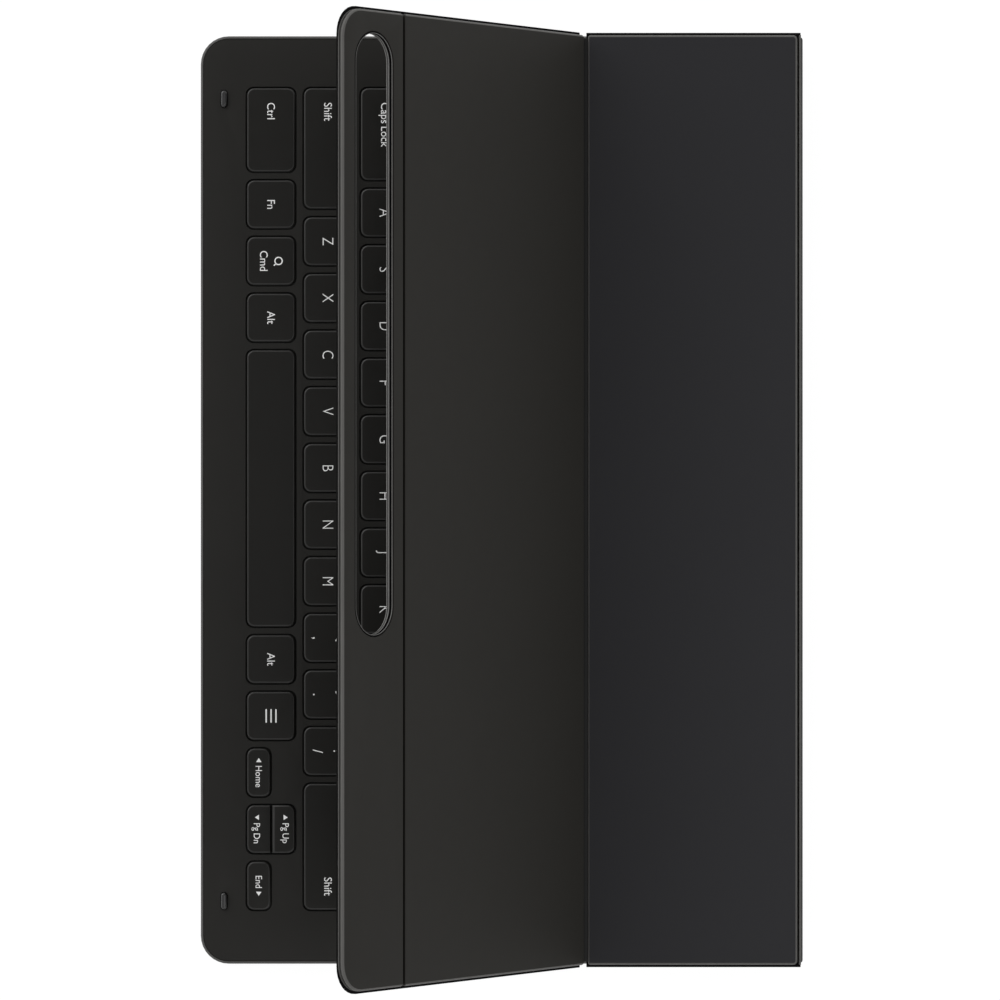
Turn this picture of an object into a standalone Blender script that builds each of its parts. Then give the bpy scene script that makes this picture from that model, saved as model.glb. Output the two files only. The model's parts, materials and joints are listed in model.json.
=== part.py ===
"""Tablet keyboard case: a slim keyboard with a folding cover on its rear edge.

The case stands as it does with the cover half open. The stand panel lies over the rear of the
keyboard, and the back panel is folded up at the crease. +X is the typist's right, +Y points away
from the typist to the spine, and +Z is up. The origin is on the table under the middle of the case.
Lengths are in millimetres, and become metres where a mesh or a place is made.
"""

import bmesh
import bpy
from math import cos, pi, radians, sin, tan
from mathutils import Vector

MM = 0.001

# Overall size
COVER_WIDTH = 285.0
CASE_DEPTH = 184.3
TRAY_WIDTH = 284.8
DECK_TOP = 5.5
COVER_INNER = 13.0
COVER_THICK = 2.3
SPINE_THICK = 2.0

# Clearances: between pieces, between the layers of a panel, and how far a cutter runs past a face
GAP = 0.3
LAMINATE_GAP = 0.1
PAST = 1.0

# Cover panels
CREASE_Y = 25.8
BACK_LENGTH = 89.4
FLAP_LENGTH = 28.6
FLAP_CORNER = 8.5
FOLD = 52.8
SKIN = 0.7
SKIN_SHORT = 0.4
SKIN_CHAMFER = 0.6
LINING = 0.45
BACK_MAGNET = (70.0, 14.0)
BACK_MAGNET_X = 70.0

# Spine and the flexible webs at the folds
SPINE_SHORT = 1.2
SPINE_SKIN = 0.6
SPINE_BOARD = 0.9
WEB_HALF = 1.8
WEB_THICK = 0.4
CREASE_HALF = 0.8
GROOVE_HALF = 0.5
LINING_END = 1.0

# Long slot in the flap, for the pen and the lenses
SLOT_LENGTH = 174.9
SLOT_WIDTH = 17.4
SLOT_FROM_LEFT = 7.0
TRIM_WALL = 0.9

# Keyboard tray and deck
FRONT_CORNER = 8.6
REAR_CORNER = 1.5
SHARPEST_CORNER = 0.4
RIM = 0.75
RIM_CHAMFER = 0.3
FLOOR = 0.9
FLOOR_CHAMFER = (0.6, 0.8)
DECK_THICK = 1.2
RIB = (2.0, 36.0)
RIB_Y = 68.0
RIBS_X = (-110.0, -60.0, 60.0, 110.0)

# Keys
PITCH = 17.39
ROW_PITCH = 17.47
ROW_UNITS = 14.657
KEY = 14.6
KEY_GAP = 0.5
KEY_CORNER = 2.2
KEY_PROUD = 0.3
KEY_THICK = 1.2
KEY_CHAMFER = 0.3
KEYS_LEFT = -126.35
KEYS_FRONT = -77.85
FUNCTION_DEPTH = 8.2
FUNCTION_KEYS = 14
STEM = 4.0
STEM_BOTTOM = 3.65
ROW_WEB = 0.35

# Sheets under the keys
SHEET_MARGIN = 1.0
SHEET_CORNER = 2.0
PLATE_THICK = 0.4
SHEET_THICK = 0.2
DOME_RADIUS = 2.6
DOME_CROWN_RADIUS = 1.6
DOME_SIDES = 6
TAIL_X = (-36.0, -20.0)

# Bumpers on the front corners of the deck
BUMPER = (5.5, 2.25)
BUMPER_X = 123.1
BUMPER_Y = -85.0
BUMPER_TOP = 6.6
BUMPER_ROUND = 0.35

# Docking bar, its magnets, its contacts and the board that they stand on
DOCK = (236.0, 8.0)
DOCK_Y = 25.4
DOCK_TOP = 6.9
DOCK_WALL = 1.1
DOCK_CHAMFER = 0.5
DOCK_FLANGE = (1.4, 0.5)
DOCK_MAGNET = (60.0, 4.8)
DOCK_MAGNET_X = 80.0
BLOCK = (12.0, 4.8)
BLOCK_SUNK = 0.15
PIN_RADIUS = 0.7
PIN_TIP = (0.35, 0.4)
PIN_SPACING = 3.0
PIN_PROUD = 0.75
PIN_LENGTH = 3.4
PIN_ROOM = 1.2
PIN_SIDES = 8
BOARD_HALF = 45.0
BOARD_REAR_Y = 50.0
BOARD_THICK = 0.8
BOARD_CORNER = 1.0
CHIP = (9.0, 9.0, 1.0)
CHIP_PLACE = (0.0, 41.0)
REGULATOR = (5.0, 4.0, 0.8)
REGULATOR_PLACE = (24.0, 41.0)

# Straight steps in each round corner
CORNER_STEPS = 3
KEY_STEPS = 2
SLOT_STEPS = 6
WEB_STEPS = 4

# Places worked out from the sizes above
FRONT_Y = -CASE_DEPTH / 2
REAR_Y = CASE_DEPTH / 2
SPINE_INNER_Y = REAR_Y - SPINE_THICK
SPINE_HINGE_Z = COVER_THICK
SPINE_HALF = COVER_WIDTH / 2 - SPINE_SHORT
SPINE_TALL = COVER_INNER - SPINE_HINGE_Z
STAND_LENGTH = SPINE_INNER_Y - CREASE_Y
TRAY_REAR_Y = SPINE_INNER_Y - GAP
SKIN_WIDTH = COVER_WIDTH - 2 * SKIN_SHORT
SKIN_WALL_LOW = LINING + LAMINATE_GAP
WEB_LENGTH_HALF = SKIN_WIDTH / 2 - SKIN - GAP
WEB_OVER = SKIN + LAMINATE_GAP
BOARD_END = WEB_HALF + GAP
SLOT_X = -COVER_WIDTH / 2 + SLOT_FROM_LEFT + SLOT_LENGTH / 2
SLOT_Y = -FLAP_LENGTH / 2
DECK_UNDER = DECK_TOP - DECK_THICK
PLATE_Z = FLOOR + GAP
MEMBRANE_Z = PLATE_Z + PLATE_THICK + GAP
DOME_Z = MEMBRANE_Z + SHEET_THICK + GAP
DOME_TOP = STEM_BOTTOM - GAP
KEY_TOP = DECK_TOP + KEY_PROUD
KEY_UNDER = KEY_TOP - KEY_THICK
KEY_SPACE = PITCH - KEY
KEYS_WIDTH = ROW_UNITS * PITCH - KEY_SPACE
HALF_KEY = (KEY - KEY_GAP) / 2
BOARD_TOP = PLATE_Z + BOARD_THICK
TAIL_END_Y = DOCK_Y - DOCK[1] / 2 - DOCK_FLANGE[0] - GAP
DOCK_LOW = DECK_UNDER - GAP - DOCK_FLANGE[1]
DOCK_CEILING = DOCK_TOP - DOCK_WALL
BLOCK_TOP = DOCK_TOP - BLOCK_SUNK
PIN_TOP = BLOCK_TOP + PIN_PROUD

# Corner radii at the front and at the rear of a key. The up and down keys are square where they meet.
ROUND_KEY = (KEY_CORNER, KEY_CORNER)
SPLIT_KEYS = {"key_down": (KEY_CORNER, SHARPEST_CORNER), "key_up": (SHARPEST_CORNER, KEY_CORNER)}

# The keys of each row from left to right. A width is in key pitches; None takes what is left.
FRONT_ROW = (
    ("key_ctrl", 1.627),
    ("key_fn", 1),
    ("key_cmd", 1),
    ("key_alt_left", 1),
    ("key_space", 5.03),
    ("key_alt_right", 1),
    ("key_mark", 1),
    ("key_left", 1),
    ("key_down_up", 1),
    ("key_right", None),
)
SHIFT_ROW = (
    ("key_shift_left", 2.28),
    *((f"key_{letter}", 1) for letter in "zxcvbnm"),
    ("key_comma", 1),
    ("key_period", 1),
    ("key_slash", 1),
    ("key_shift_right", None),
)
JOINED_ROWS = (
    ("key_row_home", (1.775, *[1] * 11, None), KEY),
    ("key_row_tab", (1.53, *[1] * 12, None), KEY),
    ("key_row_number", (1.03, *[1] * 12, None), KEY),
    ("key_row_function", [ROW_UNITS / FUNCTION_KEYS] * FUNCTION_KEYS, FUNCTION_DEPTH),
)


def clear_scene():
    for thing in list(bpy.data.objects):
        bpy.data.objects.remove(thing)


def material(name, colour, roughness, metallic=0.0):
    made = bpy.data.materials.new(name)
    made.use_nodes = True
    shader = made.node_tree.nodes["Principled BSDF"]
    shader.inputs["Base Color"].default_value = (*colour, 1.0)
    shader.inputs["Roughness"].default_value = roughness
    shader.inputs["Metallic"].default_value = metallic
    return made


# Outlines: lists of (x, y) that run anticlockwise


def rectangle(x0, x1, y0, y1, front=0.0, rear=None, steps=CORNER_STEPS):
    """A rectangle whose front and rear corners are rounded to the radii given."""
    rear = front if rear is None else rear
    corners = (
        (x0 + front, y0 + front, front, pi),
        (x1 - front, y0 + front, front, 1.5 * pi),
        (x1 - rear, y1 - rear, rear, 0.0),
        (x0 + rear, y1 - rear, rear, 0.5 * pi),
    )
    points = []
    for x, y, radius, start in corners:
        count = steps if radius else 0
        for step in range(count + 1):
            angle = start + (pi / 2) * step / max(count, 1)
            points.append((x + radius * cos(angle), y + radius * sin(angle)))
    return points


def centred(x, y, width, depth, radius=0.0, steps=CORNER_STEPS):
    return rectangle(x - width / 2, x + width / 2, y - depth / 2, y + depth / 2, radius, steps=steps)


def polygon(x, y, radius, sides):
    turns = (2 * pi * side / sides for side in range(sides))
    return [(x + radius * cos(turn), y + radius * sin(turn)) for turn in turns]


def tray_outline(inset):
    half = TRAY_WIDTH / 2 - inset
    front = FRONT_CORNER - inset
    rear = max(REAR_CORNER - inset, SHARPEST_CORNER)
    return rectangle(-half, half, FRONT_Y + inset, TRAY_REAR_Y - inset, front, rear)


def slot_outline(inset):
    width = SLOT_WIDTH - 2 * inset
    return centred(SLOT_X, SLOT_Y, SLOT_LENGTH - 2 * inset, width, width / 2, SLOT_STEPS)


def key_outline(x0, x1, y0, y1, grow, corners=ROUND_KEY):
    """A key's outline, grown or shrunk. The corners are the radii at its front and at its rear."""
    front, rear = (corner + (grow / 2 if grow > 0 else grow) for corner in corners)
    return rectangle(x0 - grow, x1 + grow, y0 - grow, y1 + grow, front, rear, KEY_STEPS)


def prism(outline, low, high):
    return [(outline, low), (outline, high)]


# Meshes


def add_stack(mesh, levels):
    """Adds a closed solid through outlines of equal count, each at its height, from the bottom up."""
    rings = [[mesh.verts.new((x * MM, y * MM, z * MM)) for x, y in outline] for outline, z in levels]
    add_skin_and_caps(mesh, rings)


def add_bar(mesh, profile, half_length):
    """Adds a closed bar along X whose section is a profile of (y, z) points."""
    ends = (-half_length, half_length)
    rings = [[mesh.verts.new((x * MM, y * MM, z * MM)) for y, z in profile] for x in ends]
    add_skin_and_caps(mesh, rings)


def add_skin_and_caps(mesh, rings):
    for lower, upper in zip(rings, rings[1:]):
        for i, corner in enumerate(lower):
            after = (i + 1) % len(lower)
            mesh.faces.new((corner, lower[after], upper[after], upper[i]))
    mesh.faces.new(rings[0][::-1])
    mesh.faces.new(rings[-1])


def mesh_object(name, add, shapes):
    mesh = bmesh.new()
    for shape in shapes:
        add(mesh, *shape)
    bmesh.ops.recalc_face_normals(mesh, faces=mesh.faces)
    data = bpy.data.meshes.new(name)
    mesh.to_mesh(data)
    mesh.free()
    made = bpy.data.objects.new(name, data)
    bpy.context.collection.objects.link(made)
    return made


def finished(made, finish, parent, place):
    made.data.materials.append(finish)
    made.parent = parent
    made.location = Vector(place) * MM
    return made


def piece(name, levels, finish, parent=None, place=(0, 0, 0)):
    """A named solid built up from outlines."""
    return finished(mesh_object(name, add_stack, [(levels,)]), finish, parent, place)


def bar(name, profile, half_length, finish, parent=None, place=(0, 0, 0)):
    """A named solid of constant section along X."""
    return finished(mesh_object(name, add_bar, [(profile, half_length)]), finish, parent, place)


def combine(target, operation, stacks):
    """Cuts the stacks out of the target, or joins them to it. The stacks stay clear of each other."""
    helper = mesh_object(f"{target.name}_{operation.lower()}", add_stack, [(levels,) for levels in stacks])
    helper.parent = target.parent
    helper.location = target.location
    helper.hide_render = True
    helper.display_type = "WIRE"
    change = target.modifiers.new(operation.lower(), "BOOLEAN")
    change.operation = operation
    change.object = helper


def cut(target, stacks):
    combine(target, "DIFFERENCE", stacks)


def join(target, stacks):
    combine(target, "UNION", stacks)


def pivot(name, place, parent=None, tilt=0.0):
    """An empty on a fold's axis, which carries everything that turns there."""
    made = bpy.data.objects.new(name, None)
    bpy.context.collection.objects.link(made)
    made.parent = parent
    made.location = Vector(place) * MM
    made.rotation_euler.x = radians(tilt)
    return made


# Where the keys are


def key_spans(widths):
    """The left and right edge of each key of a row."""
    left = KEYS_LEFT
    for width in widths:
        if width is None:
            yield left, KEYS_LEFT + KEYS_WIDTH
            return
        yield left, left + width * PITCH - KEY_SPACE
        left += width * PITCH


def row_front(row):
    return KEYS_FRONT + row * ROW_PITCH


def single_keys():
    """Name and (x0, x1, y0, y1) of each key that moves by itself."""
    for row, keys in enumerate((FRONT_ROW, SHIFT_ROW)):
        front = row_front(row)
        for (name, _), (x0, x1) in zip(keys, key_spans([width for _, width in keys])):
            if name == "key_down_up":
                yield "key_down", (x0, x1, front, front + HALF_KEY)
                yield "key_up", (x0, x1, front + KEY - HALF_KEY, front + KEY)
            elif name in ("key_left", "key_right"):
                yield name, (x0, x1, front, front + HALF_KEY)
            else:
                yield name, (x0, x1, front, front + KEY)


def joined_keys():
    """Name and the list of (x0, x1, y0, y1) of each row that moves as one."""
    for row, (name, widths, depth) in enumerate(JOINED_ROWS, start=2):
        front = row_front(row)
        yield name, [(x0, x1, front, front + depth) for x0, x1 in key_spans(widths)]


def all_keys():
    for _, edges in single_keys():
        yield edges
    for _, row in joined_keys():
        yield from row


def key_windows():
    """The outline of each window in the deck. The up and down keys share one."""
    for name, (x0, x1, y0, y1) in single_keys():
        if name == "key_up":
            continue
        rear = y0 + KEY if name == "key_down" else y1
        yield key_outline(x0, x1, y0, rear, KEY_GAP)
    for _, row in joined_keys():
        for edges in row:
            yield key_outline(*edges, KEY_GAP)


# Keyboard half


def build_tray(finish):
    inset, rise = FLOOR_CHAMFER
    levels = [
        (tray_outline(inset), 0.0),
        (tray_outline(0.0), rise),
        (tray_outline(0.0), DECK_TOP - RIM_CHAMFER),
        (tray_outline(RIM_CHAMFER), DECK_TOP),
    ]
    tray = piece("bottom_cover", levels, finish)
    cut(tray, [prism(tray_outline(RIM), FLOOR, DECK_TOP + PAST)])
    join(tray, [prism(centred(x, RIB_Y, *RIB), FLOOR / 2, DECK_UNDER - GAP) for x in RIBS_X])


def build_deck(finish):
    deck = piece("key_deck", prism(tray_outline(RIM + GAP), DECK_UNDER, DECK_TOP), finish)
    holes = list(key_windows())
    holes.append(centred(0, DOCK_Y, DOCK[0] + 2 * GAP, DOCK[1] + 2 * GAP))
    length, depth = (size + 2 * GAP for size in BUMPER)
    holes += [centred(x, BUMPER_Y, length, depth, depth / 2) for x in (-BUMPER_X, BUMPER_X)]
    cut(deck, [prism(hole, DECK_UNDER - PAST, DECK_TOP + PAST) for hole in holes])


def build_bumpers(finish):
    length, depth = BUMPER
    foot = centred(0, 0, length, depth, depth / 2)
    inset = BUMPER_ROUND
    crown = centred(0, 0, length - 2 * inset, depth - 2 * inset, depth / 2 - inset)
    levels = [(foot, DECK_UNDER), (foot, BUMPER_TOP - inset), (crown, BUMPER_TOP)]
    for side, x in (("left", -BUMPER_X), ("right", BUMPER_X)):
        piece(f"front_bumper_{side}", levels, finish, place=(x, BUMPER_Y, 0))


def build_key_sheets(steel, film, silicone):
    """The sheets under the keys: a backing plate, the printed membrane and the domes."""
    x0, x1 = KEYS_LEFT - SHEET_MARGIN, KEYS_LEFT + KEYS_WIDTH + SHEET_MARGIN
    y0, y1 = row_front(0) - SHEET_MARGIN, row_front(5) + FUNCTION_DEPTH + SHEET_MARGIN
    sheet = rectangle(x0, x1, y0, y1, SHEET_CORNER)
    piece("backing_plate", prism(sheet, PLATE_Z, PLATE_Z + PLATE_THICK), steel)

    membrane_top = MEMBRANE_Z + SHEET_THICK
    membrane = piece("membrane_sheet", prism(sheet, MEMBRANE_Z, membrane_top), film)
    tail = rectangle(*TAIL_X, y1 - PAST, TAIL_END_Y)
    join(membrane, [prism(tail, MEMBRANE_Z, membrane_top)])

    domes = piece("dome_sheet", prism(sheet, DOME_Z, DOME_Z + SHEET_THICK), silicone)
    join(domes, [dome_levels((x0 + x1) / 2, (y0 + y1) / 2) for x0, x1, y0, y1 in all_keys()])


def dome_levels(x, y):
    foot = polygon(x, y, DOME_RADIUS, DOME_SIDES)
    crown = polygon(x, y, DOME_CROWN_RADIUS, DOME_SIDES)
    return [(foot, DOME_Z + SHEET_THICK / 2), (crown, DOME_TOP)]


def cap_levels(x0, x1, y0, y1, under, corners=ROUND_KEY):
    """A keycap with a small chamfer round its top."""
    side = key_outline(x0, x1, y0, y1, 0.0, corners)
    top = key_outline(x0, x1, y0, y1, -KEY_CHAMFER, corners)
    return [(side, under), (side, KEY_TOP - KEY_CHAMFER), (top, KEY_TOP)]


def build_single_keys(finish):
    stem = prism(centred(0, 0, STEM, STEM), STEM_BOTTOM, KEY_UNDER + KEY_THICK / 2)
    for name, (x0, x1, y0, y1) in single_keys():
        x, y = (x0 + x1) / 2, (y0 + y1) / 2
        corners = SPLIT_KEYS.get(name, ROUND_KEY)
        levels = cap_levels(x0 - x, x1 - x, y0 - y, y1 - y, KEY_UNDER, corners)
        key = piece(name, levels, finish, place=(x, y, 0))
        join(key, [stem])


def build_joined_keys(finish):
    """Each of the rear rows: its caps on one thin web below the deck."""
    under = STEM_BOTTOM + ROW_WEB / 2
    for name, row in joined_keys():
        y = (row[0][2] + row[0][3]) / 2
        web = rectangle(row[0][0] + PAST, row[-1][1] - PAST, -STEM / 2, STEM / 2)
        made = piece(name, prism(web, STEM_BOTTOM, STEM_BOTTOM + ROW_WEB), finish, place=(0, y, 0))
        join(made, [cap_levels(x0, x1, y0 - y, y1 - y, under) for x0, x1, y0, y1 in row])


def build_dock(finish, magnet):
    """The bar that the tablet's edge stands on. A flange under the deck holds it."""
    length, depth = DOCK
    outer = centred(0, DOCK_Y, length, depth)
    crown = centred(0, DOCK_Y, length - 2 * DOCK_CHAMFER, depth - 2 * DOCK_CHAMFER)
    dock = piece(
        "docking_bar", [(outer, DOCK_LOW), (outer, DOCK_TOP - DOCK_CHAMFER), (crown, DOCK_TOP)], finish
    )
    reach, rise = DOCK_FLANGE
    flange = centred(0, DOCK_Y, length + 2 * reach, depth + 2 * reach)
    join(dock, [prism(flange, DOCK_LOW, DOCK_LOW + rise)])
    hollow = centred(0, DOCK_Y, length - 2 * DOCK_WALL, depth - 2 * DOCK_WALL)
    cut(dock, [prism(hollow, DOCK_LOW - PAST, DOCK_CEILING)])
    window = centred(0, DOCK_Y, BLOCK[0] + 2 * GAP, BLOCK[1] + 2 * GAP)
    cut(dock, [prism(window, DOCK_CEILING - PAST, DOCK_TOP + PAST)])
    levels = prism(centred(0, 0, *DOCK_MAGNET), BOARD_TOP + GAP, DOCK_CEILING - GAP)
    for side, x in (("left", -DOCK_MAGNET_X), ("right", DOCK_MAGNET_X)):
        piece(f"dock_magnet_{side}", levels, magnet, place=(x, DOCK_Y, 0))


def build_contacts(insulator, contact):
    """The contact block, and its pins on their springs' axes."""
    pins = (("left", -PIN_SPACING), ("middle", 0.0), ("right", PIN_SPACING))
    levels = prism(centred(0, 0, *BLOCK), BOARD_TOP + GAP, BLOCK_TOP)
    block = piece("pogo_block", levels, insulator, place=(0, DOCK_Y, 0))
    bore_low = PIN_TOP - PIN_LENGTH - PIN_ROOM
    bores = [polygon(x, 0, PIN_RADIUS + GAP, PIN_SIDES) for _, x in pins]
    cut(block, [prism(bore, bore_low, BLOCK_TOP + PAST) for bore in bores])

    tip_radius, tip_rise = PIN_TIP
    barrel = polygon(0, 0, PIN_RADIUS, PIN_SIDES)
    tip = polygon(0, 0, tip_radius, PIN_SIDES)
    for side, x in pins:
        pin = [(barrel, PIN_TOP - PIN_LENGTH), (barrel, PIN_TOP - tip_rise), (tip, PIN_TOP)]
        piece(f"pogo_pin_{side}", pin, contact, place=(x, DOCK_Y, 0))


def build_board(finish):
    outline = rectangle(-BOARD_HALF, BOARD_HALF, TAIL_END_Y + GAP, BOARD_REAR_Y, BOARD_CORNER)
    board = piece("controller_board", prism(outline, PLATE_Z, BOARD_TOP), finish)
    chips = []
    for (width, depth, height), place in ((CHIP, CHIP_PLACE), (REGULATOR, REGULATOR_PLACE)):
        chips.append(prism(centred(*place, width, depth), BOARD_TOP - BOARD_THICK / 2, BOARD_TOP + height))
    join(board, chips)


# Sections of the cover's folds, as (y, z) about the fold's axis


def box_section(y0, y1, z0, z1):
    return [(y0, z0), (y1, z0), (y1, z1), (y0, z1)]


def corner_section(radius_y, radius_z, start):
    """A quarter-round web, from one direction round to the next."""
    turns = [start + (pi / 2) * step / WEB_STEPS for step in range(WEB_STEPS + 1)]
    inner_y, inner_z = radius_y - SPINE_SKIN, radius_z - SPINE_SKIN
    outside = [(radius_y * cos(turn), radius_z * sin(turn)) for turn in turns]
    inside = [(inner_y * cos(turn), inner_z * sin(turn)) for turn in turns]
    return outside + inside[::-1]


def strip_section(fold):
    """A strip under two skins whose outer faces meet at the axis, folded up by an angle."""
    over, under = WEB_OVER, WEB_OVER + WEB_THICK
    turn = radians(fold)
    near, near_up = Vector((1, 0)), Vector((0, 1))
    far, far_up = Vector((-cos(turn), sin(turn))), Vector((sin(turn), cos(turn)))
    down = -Vector((tan(turn / 2), 1))
    return [
        near * WEB_HALF - near_up * under,
        near * WEB_HALF - near_up * over,
        down * over,
        far * WEB_HALF - far_up * over,
        far * WEB_HALF - far_up * under,
        down * under,
    ]


# Cover half. A panel runs from its hinge towards -Y, and its outer face is its upper one.


def panel_outline(width, near, far, corner=0.0):
    return rectangle(-width / 2, width / 2, -far, -near, corner, 0.0)


def panel_skin(name, low, near, far, finish, axis, corner=0.0):
    """The outer skin: a plate with a wall down each free side and a chamfer round its face.

    A panel with round corners has a free far edge too, with a wall.
    """
    high = low + COVER_THICK
    wall_low = low + SKIN_WALL_LOW
    step = SKIN_CHAMFER if corner else 0.0
    base = panel_outline(SKIN_WIDTH, near, far, corner)
    face = panel_outline(SKIN_WIDTH - 2 * SKIN_CHAMFER, near, far - step, corner - step)
    skin = piece(name, [(base, wall_low), (base, high - SKIN_CHAMFER), (face, high)], finish, axis)
    wall = SKIN if corner else -PAST
    inside = panel_outline(SKIN_WIDTH - 2 * SKIN, near - PAST, far - wall, max(corner - SKIN, 0.0))
    cut(skin, [prism(inside, wall_low - PAST, high - SKIN)])
    return skin


def panel_board(name, low, near, far, finish, axis, corner=0.0):
    """The stiffener inside a panel's skin."""
    inset = SKIN + GAP
    width = SKIN_WIDTH - 2 * inset
    shorter = inset if corner else 0.0
    outline = panel_outline(width, near, far - shorter, max(corner - inset, 0.0))
    levels = prism(outline, low + SKIN_WALL_LOW, low + COVER_THICK - WEB_OVER)
    return piece(name, levels, finish, axis)


def panel_lining(name, low, near, far, finish, axis, corner=0.0):
    """The inner lining, a little wider than the skin."""
    outline = panel_outline(COVER_WIDTH, near, far, corner)
    return piece(name, prism(outline, low, low + LINING), finish, axis)


def build_spine(skin, board, web):
    """The spine and its two webs. Returns the axis that the stand panel turns on."""
    place = (0, SPINE_INNER_Y, SPINE_HINGE_Z)
    axis = pivot("spine_pivot", place)
    skin_front = SPINE_THICK - SPINE_SKIN
    board_rear = skin_front - LAMINATE_GAP
    skin_section = box_section(skin_front, SPINE_THICK, GAP, SPINE_TALL - GAP)
    board_section = box_section(board_rear - SPINE_BOARD, board_rear, 2 * GAP, SPINE_TALL - 2 * GAP)
    bar("spine_skin", skin_section, SPINE_HALF, skin, axis)
    bar("spine_board", board_section, SPINE_HALF - SPINE_SKIN, board, axis)

    low_section = corner_section(SPINE_THICK, SPINE_HINGE_Z - LAMINATE_GAP, 1.5 * pi)
    bar("base_hinge_web", low_section, SPINE_HALF, web, place=place)
    stand_axis = pivot("stand_pivot", (0, 0, SPINE_TALL), axis)
    bar("stand_hinge_web", corner_section(SPINE_THICK, COVER_THICK, 0.0), SPINE_HALF, web, stand_axis)
    return stand_axis


def build_stand(axis, skin, board, lining, web):
    """The stand panel. Returns the crease, which lies on its outer face and is folded up."""
    far = STAND_LENGTH
    panel_skin("stand_skin", 0.0, GAP, far - CREASE_HALF, skin, axis)
    panel_board("stand_board", 0.0, LINING_END, far - BOARD_END, board, axis)
    panel_lining("stand_lining", 0.0, GAP, far - LINING_END, lining, axis)
    place = (0, -far, COVER_THICK)
    bar("crease_web", strip_section(FOLD), WEB_LENGTH_HALF, web, axis, place)
    return pivot("crease_pivot", place, axis, -FOLD)


def build_back(axis, skin, board, lining, magnet, web):
    """The back panel. Returns the groove that the flap turns on."""
    low = -COVER_THICK
    far = BACK_LENGTH
    panel_skin("back_skin", low, CREASE_HALF, far - GROOVE_HALF, skin, axis)
    stiffener = panel_board("back_board", low, BOARD_END, far - BOARD_END, board, axis)
    panel_lining("back_lining", low, LINING_END, far - GROOVE_HALF, lining, axis)

    length, depth = BACK_MAGNET
    levels = prism(centred(0, 0, length, depth), low + SKIN_WALL_LOW, -WEB_OVER)
    pocket = prism(centred(0, -far / 2, length + 2 * GAP, depth + 2 * GAP), low - PAST, PAST)
    for side, x in (("left", -BACK_MAGNET_X), ("right", BACK_MAGNET_X)):
        piece(f"back_magnet_{side}", levels, magnet, axis, (x, -far / 2, 0))
        cut(stiffener, [[([(px + x, py) for px, py in outline], z) for outline, z in pocket]])

    place = (0, -far, 0)
    bar("groove_web", strip_section(0.0), WEB_LENGTH_HALF, web, axis, place)
    return pivot("groove_pivot", place, axis)


def build_flap(axis, skin, board, lining, trim):
    low = -COVER_THICK
    layers = (
        panel_skin("flap_skin", low, GROOVE_HALF, FLAP_LENGTH, skin, axis, FLAP_CORNER),
        panel_board("flap_board", low, BOARD_END, FLAP_LENGTH, board, axis, FLAP_CORNER),
        panel_lining("flap_lining", low, GROOVE_HALF, FLAP_LENGTH, lining, axis, FLAP_CORNER),
    )
    for layer in layers:
        cut(layer, [prism(slot_outline(0.0), low - PAST, PAST)])
    ring = piece("slot_trim", prism(slot_outline(GAP), low, 0.0), trim, axis)
    cut(ring, [prism(slot_outline(GAP + TRIM_WALL), low - PAST, PAST)])


def main():
    clear_scene()
    shell = material("charcoal shell", (0.024, 0.023, 0.021), 0.55)
    deck = material("charcoal deck", (0.023, 0.022, 0.020), 0.6)
    cap = material("key cap", (0.016, 0.015, 0.014), 0.5)
    rubber = material("bumper rubber", (0.020, 0.020, 0.020), 0.8)
    steel = material("backing steel", (0.55, 0.56, 0.58), 0.35, 1.0)
    film = material("membrane film", (0.75, 0.78, 0.74), 0.4)
    silicone = material("dome silicone", (0.70, 0.72, 0.74), 0.6)
    circuit = material("circuit board", (0.02, 0.12, 0.05), 0.5)
    nickel = material("magnet nickel", (0.60, 0.60, 0.60), 0.25, 1.0)
    gold = material("contact gold", (0.83, 0.62, 0.25), 0.25, 1.0)
    insulator = material("contact block", (0.020, 0.020, 0.020), 0.5)
    skin = material("cover skin", (0.026, 0.025, 0.024), 0.6)
    stiff = material("stiffener board", (0.25, 0.24, 0.22), 0.7)
    lining = material("cover lining", (0.012, 0.012, 0.012), 0.85)
    web = material("hinge web", (0.022, 0.021, 0.020), 0.65)
    trim = material("slot trim", (0.030, 0.030, 0.028), 0.4)

    build_tray(shell)
    build_deck(deck)
    build_bumpers(rubber)
    build_key_sheets(steel, film, silicone)
    build_single_keys(cap)
    build_joined_keys(cap)
    build_dock(shell, nickel)
    build_contacts(insulator, gold)
    build_board(circuit)
    stand_axis = build_spine(skin, stiff, web)
    crease_axis = build_stand(stand_axis, skin, stiff, lining, web)
    groove_axis = build_back(crease_axis, skin, stiff, lining, nickel, web)
    build_flap(groove_axis, skin, stiff, lining, trim)


main()
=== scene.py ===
"""Looks of the tablet keyboard case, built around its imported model.

The case lies on a pale floor with its cover half open, seen from straight above. +X is the typist's right,
+Y points to the spine and +Z is up. Lengths are in millimetres, and become metres where a mesh, a light or
the camera is made.
"""

import json
from math import cos, pi, radians, sin, tan

import bmesh
import bpy
from mathutils import Matrix, Vector
from mathutils.geometry import delaunay_2d_cdt


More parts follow.
